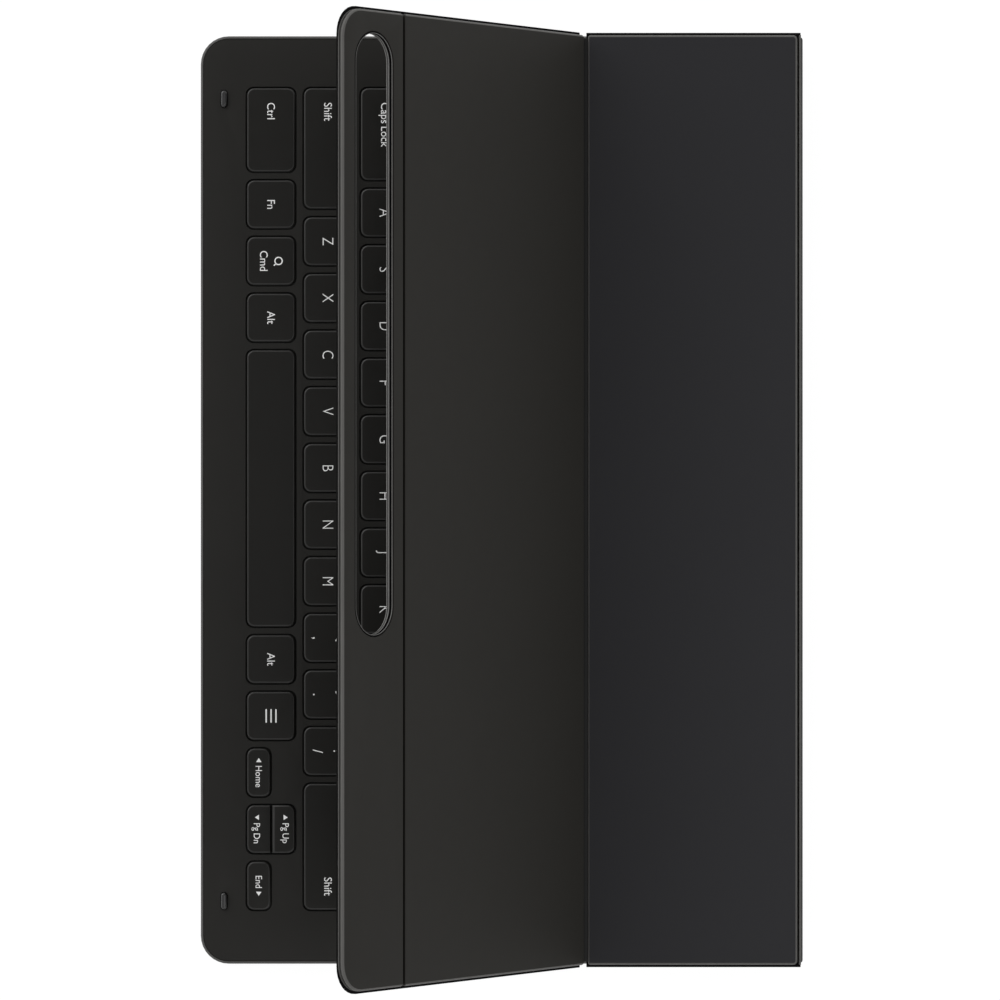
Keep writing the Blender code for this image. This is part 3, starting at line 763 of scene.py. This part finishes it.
def add_cap(mesh, edges, corners=(KEY_CORNER, KEY_CORNER), shares=(1.0, 1.0), skirt=SKIRT):
    """Adds a key's cap: a round-edged top on a skirt that fills most of its window."""
    levels = [
        (-skirt, KEY_TOP - KEY_THICK),
        (-skirt, KEY_TOP - SKIRT_DROP - SKIRT_SLOPE),
        (0.0, KEY_TOP - SKIRT_DROP),
        *round_edge(0.0, KEY_TOP, KEY_ROUND, drop=KEY_ROUND_DROP),
    ]
    add_solid(mesh, outline(*edges, *corners, shares, KEY_STEPS), levels)


def polish_edges(mesh):
    """Gives the round edges of caps their own finish, and leaves the skirts and tops."""
    for face in mesh.faces:
        if face.smooth and face.calc_center_median().z > KEY_TOP - SKIRT_DROP:
            face.material_index = 1


def slope_front(mesh, edge):
    """Slopes the front edge of a cap, which faces the other half of a split key."""
    run = SPLIT_SHARE * KEY_ROUND
    for vert in mesh.verts:
        left = run - (vert.co.y - edge)
        if left > 0 and vert.co.z > KEY_TOP - SKIRT_DROP:
            vert.co.z -= left / run * SPLIT_DROP


def build_single_keys(finish, edge_finish, ink):
    for node in single_nodes():
        mesh = bmesh.new()
        edges = node_edges(node)
        if node == "key_up":
            add_cap(mesh, edges, (SQUARE_CORNER, KEY_CORNER), (SPLIT_SHARE, 1.0), SPLIT_SKIRT)
            slope_front(mesh, low(node).y)
        elif node == "key_down":
            add_cap(mesh, edges, (KEY_CORNER, SQUARE_CORNER), (1.0, DOWN_SHARE), SPLIT_SKIRT)
        else:
            add_cap(mesh, edges)
        polish_edges(mesh)
        made = make_piece(f"cap_{node}", mesh, finish, wall_finish=edge_finish)
        place_piece(made, node, "key_cap", node)
        mesh = bmesh.new()
        add_key_legend(mesh, node, edges)
        if mesh.verts:
            made = make_piece(f"legend_{node}", mesh, ink)
            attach(made, node)
        else:
            mesh.free()


def build_row_keys(finish, edge_finish, ink):
    for node in ROW_LEGENDS:
        caps, letters = bmesh.new(), bmesh.new()
        for legend, edges in row_keys(node):
            add_cap(caps, edges)
            add_legend(letters, legend, edges, FUNCTION_WORD if node == "key_row_function" else WORD)
        polish_edges(caps)
        made = make_piece(f"caps_{node}", caps, finish, wall_finish=edge_finish)
        place_piece(made, node, "key_cap", node)
        made = make_piece(f"legends_{node}", letters, ink)
        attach(made, node)


def single_nodes():
    others = (*ROW_LEGENDS, "key_deck")
    return [node for node in frame["nodes"] if node.startswith("key_") and node not in others]


def all_windows():
    """The edges of every key's window. The up and down keys share one."""
    for node in single_nodes():
        x0, x1, y0, y1 = node_edges(node)
        if node == "key_down":
            yield x0, x1, y0, high("key_up").y
        elif node != "key_up":
            yield x0, x1, y0, y1
    for node in ROW_LEGENDS:
        for _, edges in row_keys(node):
            yield edges


def add_text(mesh, text, capital, x, y, align="CENTER", width=WORD_WIDTH, thinning=0.0):
    """Adds raised lettering whose baseline is at y."""
    curve = bpy.data.curves.new("text", "FONT")
    curve.body = text
    curve.size = capital / FONT_CAPITAL
    curve.align_x = align
    curve.space_word = WORD_SPACE
    curve.extrude = LEGEND_PROUD
    curve.offset = -thinning
    curve.resolution_u = LETTER_STEPS
    holder = bpy.data.objects.new("text", curve)
    letters = bpy.data.meshes.new_from_object(holder)
    letters.transform(Matrix.Translation((x, y, KEY_TOP)) @ Matrix.Diagonal((width, 1.0, 1.0, 1.0)))
    mesh.from_mesh(letters)
    bpy.data.objects.remove(holder)
    bpy.data.curves.remove(curve)
    bpy.data.meshes.remove(letters)


def add_flat(mesh, points):
    """Adds a flat raised shape to a key's top."""
    add_prism(mesh, points, KEY_TOP - LEGEND_PROUD, KEY_TOP + LEGEND_PROUD)


def add_legend(mesh, legend, edges, word=WORD):
    """Adds a key's legend: a pair, a single character, or a word in the middle or at an end of the key."""
    x0, x1, y0, y1 = edges
    x, y = (x0 + x1) / 2, (y0 + y1) / 2
    if isinstance(legend, tuple):
        plain, shifted = legend
        add_text(mesh, plain, PAIR, x, y0 + PAIR_LOW)
        add_text(mesh, shifted, PAIR, x, y0 + PAIR_HIGH)
    elif len(legend) == 1:
        add_text(mesh, legend, LETTER, x, y - LETTER / 2, width=LETTER_WIDTH, thinning=LETTER_THINNING)
    elif legend in RIGHT_WORDS or (legend == "Shift" and x > 0):
        add_text(mesh, legend, word, x1 - LEGEND_MARGIN, y - word / 2, "RIGHT")
    elif legend in LEFT_WORDS:
        add_text(mesh, legend, word, x0 + LEGEND_MARGIN, y - word / 2, "LEFT")
    else:
        add_text(mesh, legend, word, x, y - word / 2)


def add_key_legend(mesh, node, edges):
    x0, x1, y0, y1 = edges
    x, y = (x0 + x1) / 2, (y0 + y1) / 2
    if node in KEY_LEGENDS:
        add_legend(mesh, KEY_LEGENDS[node], edges)
    elif node == "key_cmd":
        add_text(mesh, "Cmd", WORD, x, y - COMMAND_LOW)
        add_magnifier(mesh, x, y + LENS_HIGH)
    elif node == "key_mark":
        add_menu(mesh, x, y)
    elif node == "key_left":
        add_arrow_legend(mesh, "Home", x, y, pi, -1)
    elif node == "key_right":
        add_arrow_legend(mesh, "End", x, y, 0.0, 1)
    elif node == "key_down":
        add_arrow_legend(mesh, "Pg Dn", x, y + DOWN_LEGEND_SHIFT, -pi / 2, -1)
    elif node == "key_up":
        add_arrow_legend(mesh, "Pg Up", x, y + UP_LEGEND_SHIFT, pi / 2, -1)


def add_arrow_legend(mesh, word, x, y, turn, side):
    """A small word with an arrowhead before it (side -1) or after it (side 1)."""
    before = len(mesh.verts)
    add_text(mesh, word, SMALL_WORD, x, y - SMALL_WORD / 2, "LEFT")
    mesh.verts.ensure_lookup_table()
    letters = mesh.verts[before:]
    start, end = (pick(vert.co.x for vert in letters) for pick in (min, max))
    base, tall = ARROW
    length = end - start + ARROW_SPACE + tall
    shift = x - length / 2 - start + (ARROW_SPACE + tall if side < 0 else 0.0)
    for vert in letters:
        vert.co.x += shift
    middle = x + side * (length - tall) / 2
    corners = ((tall / 2, 0.0), (-tall / 2, base / 2), (-tall / 2, -base / 2))
    turned = [(a * cos(turn) - b * sin(turn), a * sin(turn) + b * cos(turn)) for a, b in corners]
    add_flat(mesh, [(middle + a, y + b) for a, b in turned])


def add_magnifier(mesh, x, y):
    radius, stroke = LENS
    inner, outer, half = HANDLE
    base, top = KEY_TOP - LEGEND_PROUD, KEY_TOP + LEGEND_PROUD
    add_hoop(mesh, circle(x, y, radius), ([(0.0, base), (0.0, top), (stroke, top), (stroke, base)], 0))
    add_flat(
        mesh,
        [
            (x + inner - half, y - inner - half),
            (x + outer - half, y - outer - half),
            (x + outer + half, y - outer + half),
            (x + inner + half, y - inner + half),
        ],
    )


def add_menu(mesh, x, y):
    """Three level bars."""
    half, thick = (size / 2 for size in MENU_BAR)
    for middle in (y - MENU_PITCH, y, y + MENU_PITCH):
        bar = outline(x - half, x + half, middle - thick, middle + thick, thick, steps=KEY_STEPS)
        add_flat(mesh, bar(0.0))


# Cover half


def section_levels(section):
    """Levels (inset, z) from (inset, depth) points."""
    return [(inset, -depth) for inset, depth in section]


def slot_outline(grow=0.0):
    half = SLOT_WIDTH / 2 + grow
    reach = SLOT_HALF + grow
    return outline(SLOT_X - reach, SLOT_X + reach, SLOT_Y - half, SLOT_Y + half, half, steps=SLOT_STEPS)


def clear_folds(mesh, folds):
    """Leaves the edge finish off the walls at a panel's folds."""
    for face in mesh.faces:
        if any(abs(face.calc_center_median().y - fold) < FOLD_REACH for fold in folds):
            face.material_index = 0


def build_skin(name, body, matrix, ends, corners, shares, folds, finishes, holes=()):
    """A panel's skin, from its front end to its rear end: a plate with a layered wall round it."""
    levels = [
        (SKIN_WALL, -SKIN_PLATE),
        (SKIN_WALL, -WALL_SECTION[0][1]),
        *section_levels(WALL_SECTION),
        *round_edge(0.0, 0.0, FACE_ROUND),
    ]
    mesh = bmesh.new()
    # The walls and round edges take the edge finish, which is partly painted highlight.
    add_solid(mesh, outline(-SKIN_HALF, SKIN_HALF, *ends, *corners, shares), levels, holes, wall_finish=1)
    clear_folds(mesh, folds)
    # The stand panel takes the skin's copy that is painted lighter and cooler for the light it faces.
    finish = finishes["stand_skin" if name == "stand" else "cover_skin"]
    made = make_piece(f"{name}_cover_skin", mesh, finish, matrix, finishes["cover_edge"])
    place_piece(made, body, "cover_skin", f"{name}_skin")


def build_lining(name, body, matrix, ends, front_corner, finish, slotted=False):
    """A panel's lining: a thin sheet under the skin that stands out beyond it at the sides."""
    top, base = -LINING_TOP, -COVER_THICK
    levels = [
        *reversed(round_edge(0.0, base, LINING_ROUND, upward=-1)),
        *round_edge(0.0, top, LINING_ROUND),
    ]
    holes = [(slot_outline(), [(0.0, base), (0.0, top)])] if slotted else []
    mesh = bmesh.new()
    add_solid(mesh, outline(-COVER_HALF, COVER_HALF, *ends, front_corner, LINING_CORNER), levels, holes)
    made = make_piece(f"{name}_inner_lining", mesh, finish, matrix)
    place_piece(made, body, "cover_lining", f"{name}_lining")


def build_panels(finishes):
    back_end, flap_end = -BACK_LENGTH, -BACK_LENGTH - FLAP_LENGTH
    stand_ends = (CREASE_HALF, STAND_LENGTH + STAND_OVERLAP)
    back_ends = (back_end + GROOVE_HALF, -CREASE_HALF)
    flap_ends = (flap_end + FREE_LEDGE, back_end - GROOVE_HALF)
    slot = (slot_outline(SLOT_CLEARANCE), [(0.0, -SKIN_PLATE), *round_edge(0.0, 0.0, SLOT_ROUND, inward=-1)])
    stand = ("stand", "stand_panel", FLAT)
    back = ("back", "back_panel", TILTED)
    flap = ("flap", "pen_flap", TILTED)
    build_skin(*stand, stand_ends, (FOLD_CORNER, STAND_CORNER), (CREASE_SHARE, 1.0), (), finishes)
    build_skin(*back, back_ends, (FOLD_CORNER, FOLD_CORNER), (FOLD_SHARE, FOLD_SHARE), back_ends, finishes)
    flap_corners = (FLAP_CORNER, FOLD_CORNER)
    build_skin(*flap, flap_ends, flap_corners, (1.0, FOLD_SHARE), flap_ends[1:], finishes, [slot])
    lining = finishes["cover_lining"]
    build_lining(*stand, (CREASE_LINING, STAND_LENGTH - SPINE_GAP), LINING_CORNER, lining)
    build_lining(*back, (back_end + LINING_GAP, -CREASE_LINING), LINING_CORNER, lining)
    build_lining(*flap, (flap_end, back_end - LINING_GAP), FLAP_CORNER, lining, slotted=True)


def build_flap_board(finish):
    """The flap's stiffener, inside the skin's wall and clear of the slot."""
    inset = SKIN_WALL + BOARD_GAP
    front = -BACK_LENGTH - FLAP_LENGTH + FREE_LEDGE + inset
    rear = -BACK_LENGTH - GROOVE_HALF - inset
    half = SKIN_HALF - inset
    shape = outline(-half, half, front, rear, FLAP_CORNER - inset, LINING_CORNER)
    levels = [(0.0, -LINING_TOP + BOARD_GAP), (0.0, -SKIN_PLATE - BOARD_GAP)]
    hole = (slot_outline(SLOT_CLEARANCE), levels)
    mesh = bmesh.new()
    add_solid(mesh, shape, levels, [hole])
    made = make_piece("flap_stiffener", mesh, finish, TILTED)
    place_piece(made, "pen_flap", "stiffener_board", "flap_board")


def build_slot_trim(finish, painted_shade_black):
    """The ring that lines the slot. The black lining finish on its back and in its channel is painted shade in
    those narrow gaps.
    """
    # Parts marked 1 take the black finish as painted shade.
    parts = ((TRIM_BACK, 1), (TRIM_LIP, 0), (TRIM_CHANNEL, 1), (TRIM_BAND, 0))
    mesh = bmesh.new()
    add_hoop(mesh, slot_outline(), *((section_levels(section), which) for section, which in parts))
    made = make_piece("slot_ring", mesh, finish, TILTED, painted_shade_black)
    place_piece(made, "pen_flap", "slot_trim", "slot_trim")


def build_spine(skin, lining):
    """The spine's outer skin and its lined inner side, in a frame whose Y is up and Z is to the rear."""
    shape = outline(-SPINE_HALF, SPINE_HALF, SPINE_GAP, SPINE_TALL - SPINE_TOP_GAP, FOLD_CORNER)
    mesh = bmesh.new()
    levels = [(0.0, SPINE_INNER_TOP + SPINE_LAYER_GAP), *round_edge(0.0, SPINE_THICK, SPINE_ROUND)]
    add_solid(mesh, shape, levels)
    place_piece(make_piece("spine_cover_skin", mesh, skin, UPRIGHT), "spine", "cover_skin", "spine_skin")
    levels = [
        *reversed(round_edge(0.0, SPINE_INNER, LINING_ROUND, upward=-1)),
        *round_edge(0.0, SPINE_INNER_TOP, LINING_ROUND),
    ]
    mesh = bmesh.new()
    add_solid(mesh, shape, levels)
    made = make_piece("spine_inner_lining", mesh, lining, UPRIGHT)
    place_piece(made, "spine", "cover_lining", "spine_board")


# Webs at the folds, in section about the fold's axis


def bead_ends(half):
    """Ends of a bead that is cut short at its tips and then slopes out to its full reach."""
    ends = [(half, BEAD_END_REACH), (half - BEAD_END, BEAD_END_REACH), (half - 2 * BEAD_END, SPINE_THICK)]
    return [(-x, reach) for x, reach in ends] + ends[::-1]


def quarter(y, z, radius_y, radius_z, start):
    """Points round a quarter of an ellipse, anticlockwise from a direction."""
    turns = [start + (pi / 2) * step / BEAD_STEPS for step in range(BEAD_STEPS + 1)]
    return [(y + radius_y * cos(turn), z + radius_z * sin(turn)) for turn in turns]


def stand_bead():
    """The section of the stand panel's bead: up the spine's skin, then over a ridge and back under it."""
    y, z = STAND_BEAD_MIDDLE
    return [
        (SPINE_THICK - BEAD_WALL, STAND_BEAD_LAP),
        (SPINE_THICK, STAND_BEAD_LAP),
        *quarter(y, z, SPINE_THICK - y, STAND_BEAD_RISE, 0.0),
        *STAND_BEAD_INNER,
    ]


def base_bead():
    """The section of the keyboard's bead: from under the tray, round and up to the spine's skin."""
    y, z = BASE_BEAD_MIDDLE
    notch, notch_z = BASE_BEAD_NOTCH
    return [
        *BASE_BEAD_TAIL,
        *quarter(y, z, SPINE_THICK - y, BASE_BEAD_FALL, 1.5 * pi),
        (SPINE_THICK, BASE_BEAD_LAP),
        (SPINE_THICK - BEAD_WALL, BASE_BEAD_LAP),
        (SPINE_THICK - notch, notch_z),
        BASE_BEAD_INNER,
    ]


def fold_section(fold):
    """A strip under two skins whose outer faces meet at the axis, folded up by an angle."""
    near, near_up = Vector((1, 0)), Vector((0, 1))
    far, far_up = Vector((-cos(fold), sin(fold))), Vector((sin(fold), cos(fold)))
    down = -Vector((tan(fold / 2), 1))
    over, under = WEB_DEPTH, WEB_DEPTH + WEB_THICK
    top = [near * reach - near_up * over for reach in (WEB_HALF, WEB_HALF / 2)]
    top += [down * over] + [far * reach - far_up * over for reach in (WEB_HALF / 2, WEB_HALF)]
    base = [far * reach - far_up * under for reach in (WEB_HALF, WEB_HALF / 2)]
    base += [down * under] + [near * reach - near_up * under for reach in (WEB_HALF / 2, WEB_HALF)]
    return [tuple(point) for point in top + base]


def build_web(name, node, section, ends, matrix, finish, painted_shade=None):
    """A strip in the gap between two bodies, from a start to an end about the fold's axis, built as it lies at
    rest.

    A second finish, the hinge web's colour, paints the shade on the bead's side that faces away from the light,
    past a set line.
    """
    mesh = bmesh.new()
    add_strip(mesh, section, ends)
    if painted_shade is not None:
        # Faces past the line take the second finish: painted shade.
        for face in mesh.faces:
            face.material_index = int(face.calc_center_median().y > BEAD_PAINTED_SHADE)
    made = make_piece(name, mesh, finish, matrix, painted_shade)
    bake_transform(made)
    if node:
        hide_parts(node)


def build_webs(finish, bead_painted_highlight_finish, lining):
    half = SKIN_HALF - SKIN_WALL - WEB_SIDE_GAP
    fold_ends = [(-half, WEB_HALF), (half, WEB_HALF)]
    # The crease and groove strips take the hinge web's colour, painted shade in those valleys.
    build_web(
        "crease_strip",
        "crease_web",
        fold_section(FOLD),
        fold_ends,
        FLAT,
        finish,
    )
    build_web(
        "groove_strip",
        "groove_web",
        fold_section(0.0),
        fold_ends,
        Matrix.Translation(GROOVE) @ Matrix.Rotation(-FOLD, 4, "X"),
        finish,
    )
    # The stand's bead is painted pale for its highlight, and its rear side takes the hinge web's colour as painted
    # shade.
    build_web(
        "stand_bead",
        "stand_hinge_web",
        stand_bead(),
        bead_ends(SKIN_HALF),
        Matrix.Translation(STAND_AXIS),
        bead_painted_highlight_finish,
        painted_shade=finish,
    )
    thick = COVER_THICK - LINING_TOP
    build_web(
        "stand_fold_lining",
        None,
        [(-SPINE_GAP, 0.0), (STAND_TAIL, 0.0), (STAND_TAIL, thick), (-SPINE_GAP, thick)],
        [(-COVER_HALF, STAND_TAIL), (COVER_HALF, STAND_TAIL)],
        Matrix.Translation(STAND_AXIS),
        lining,
    )
    build_web(
        "base_bead",
        "base_hinge_web",
        base_bead(),
        bead_ends(SPINE_HALF),
        Matrix.Translation(SPINE_AXIS),
        bead_painted_highlight_finish,
    )


# Floor, light and camera


def build_floor():
    """A plain pale floor that shows as white, apart from the case's shadow."""
    mesh = bmesh.new()
    half = FLOOR_SIZE / 2 * MM
    corners = [(-half, -half), (half, -half), (half, half), (-half, half)]
    mesh.faces.new([mesh.verts.new((x, y, -FLOOR_DROP * MM)) for x, y in corners])
    data = bpy.data.meshes.new("floor")
    mesh.to_mesh(data)
    mesh.free()
    floor = bpy.data.objects.new("floor", data)
    bpy.context.scene.collection.objects.link(floor)
    data.materials.append(floor_finish())


def floor_finish():
    made = bpy.data.materials.new("floor")
    made.use_nodes = True
    tree = made.node_tree
    tree.nodes.clear()
    output = tree.nodes.new("ShaderNodeOutputMaterial")
    mix = tree.nodes.new("ShaderNodeMixShader")
    plain = tree.nodes.new("ShaderNodeBsdfDiffuse")
    plain.inputs["Color"].default_value = (FLOOR_ALBEDO, FLOOR_ALBEDO, FLOOR_ALBEDO, 1.0)
    shaded = tree.nodes.new("ShaderNodeBsdfDiffuse")
    shaded.inputs["Color"].default_value = (FLOOR_SHADED, FLOOR_SHADED, FLOOR_SHADED, 1.0)
    white = tree.nodes.new("ShaderNodeEmission")
    white.inputs["Strength"].default_value = FLOOR_WHITE
    both = tree.nodes.new("ShaderNodeAddShader")
    rays = tree.nodes.new("ShaderNodeLightPath")
    seen = rays.outputs["Is Camera Ray"]
    for kind in ("Is Glossy Ray", "Is Transmission Ray"):
        either = tree.nodes.new("ShaderNodeMath")
        either.operation = "MAXIMUM"
        tree.links.new(seen, either.inputs[0])
        tree.links.new(rays.outputs[kind], either.inputs[1])
        seen = either.outputs["Value"]
    tree.links.new(seen, mix.inputs["Fac"])
    tree.links.new(plain.outputs["BSDF"], mix.inputs[1])
    tree.links.new(shaded.outputs["BSDF"], both.inputs[0])
    tree.links.new(white.outputs["Emission"], both.inputs[1])
    tree.links.new(both.outputs["Shader"], mix.inputs[2])
    tree.links.new(mix.outputs["Shader"], output.inputs["Surface"])
    return made


def build_world():
    """A soft surround: dim overhead, brighter towards the horizon, and brightest on the typist's side."""
    world = bpy.data.worlds.new("surround")
    bpy.context.scene.world = world
    world.use_nodes = True
    tree = world.node_tree
    background = tree.nodes["Background"]
    direction = tree.nodes.new("ShaderNodeTexCoord")
    split = tree.nodes.new("ShaderNodeSeparateXYZ")
    tree.links.new(direction.outputs["Generated"], split.inputs["Vector"])

    def combine(operation, *values):
        made = tree.nodes.new("ShaderNodeMath")
        made.operation = operation
        for value, socket in zip(values, made.inputs):
            if isinstance(value, float):
                socket.default_value = value
            else:
                tree.links.new(value, socket)
        return made.outputs["Value"]

    above = combine("MAXIMUM", split.outputs["Z"], 0.0)
    low_down = combine("POWER", combine("SUBTRACT", 1.0, above), GLOW_POWER)
    middle, swing = (FRONT_GLOW + REAR_GLOW) / 2, (REAR_GLOW - FRONT_GLOW) / 2
    glow = combine("MULTIPLY_ADD", split.outputs["Y"], swing, middle)
    glow = combine("MULTIPLY_ADD", split.outputs["X"], -SIDE_GLOW, glow)
    strength = combine("MULTIPLY_ADD", low_down, glow, ZENITH_GLOW)
    background.inputs["Color"].default_value = (1.0, 1.0, 1.0, 1.0)
    tree.links.new(strength, background.inputs["Strength"])


def build_softbox(name, place, size, radiance):
    width, height = (side * MM for side in size)
    lamp = bpy.data.lights.new(name, "AREA")
    lamp.shape = "RECTANGLE"
    lamp.size, lamp.size_y = width, height
    lamp.energy = radiance * pi * width * height
    made = bpy.data.objects.new(name, lamp)
    made.location = Vector(place) * MM
    made.rotation_euler = (-made.location).to_track_quat("-Z", "Y").to_euler()
    bpy.context.scene.collection.objects.link(made)


def build_camera():
    camera = bpy.data.cameras.new("camera")
    camera.lens = FOCAL_LENGTH
    camera.clip_end = VIEW_RANGE * MM
    made = bpy.data.objects.new("camera", camera)
    made.location = Vector(CAMERA_PLACE) * MM
    made.rotation_euler = (0.0, 0.0, pi / 2)
    bpy.context.scene.collection.objects.link(made)
    bpy.context.scene.camera = made


def main():
    bpy.context.scene.view_settings.view_transform = "Standard"
    build_camera()
    build_world()
    build_softbox("front_softbox", *FRONT_SOFTBOX)
    build_softbox("rear_softbox", *REAR_SOFTBOX)
    build_floor()
    finishes = make_finishes()
    finish_nodes(finishes)
    ink = legend_ink()
    build_tray(finishes["shell"])
    build_deck(finishes["deck"], list(all_windows()))
    build_bumpers(finishes["bumper_rubber"])
    build_dock(finishes["shell"], finishes["contact_block"], finishes["contact_gold"])
    build_single_keys(finishes["key_cap"], finishes["key_edge"], ink)
    build_row_keys(finishes["key_cap"], finishes["key_edge"], ink)
    build_panels(finishes)
    build_flap_board(finishes["stiffener_board"])
    # The lining's black stands in for shade in the slot trim's back and channel.
    build_slot_trim(finishes["slot_trim"], finishes["cover_lining"])
    build_spine(finishes["cover_skin"], finishes["cover_lining"])
    build_webs(finishes["hinge_web"], finishes["spine_bead"], finishes["cover_lining"])


main()
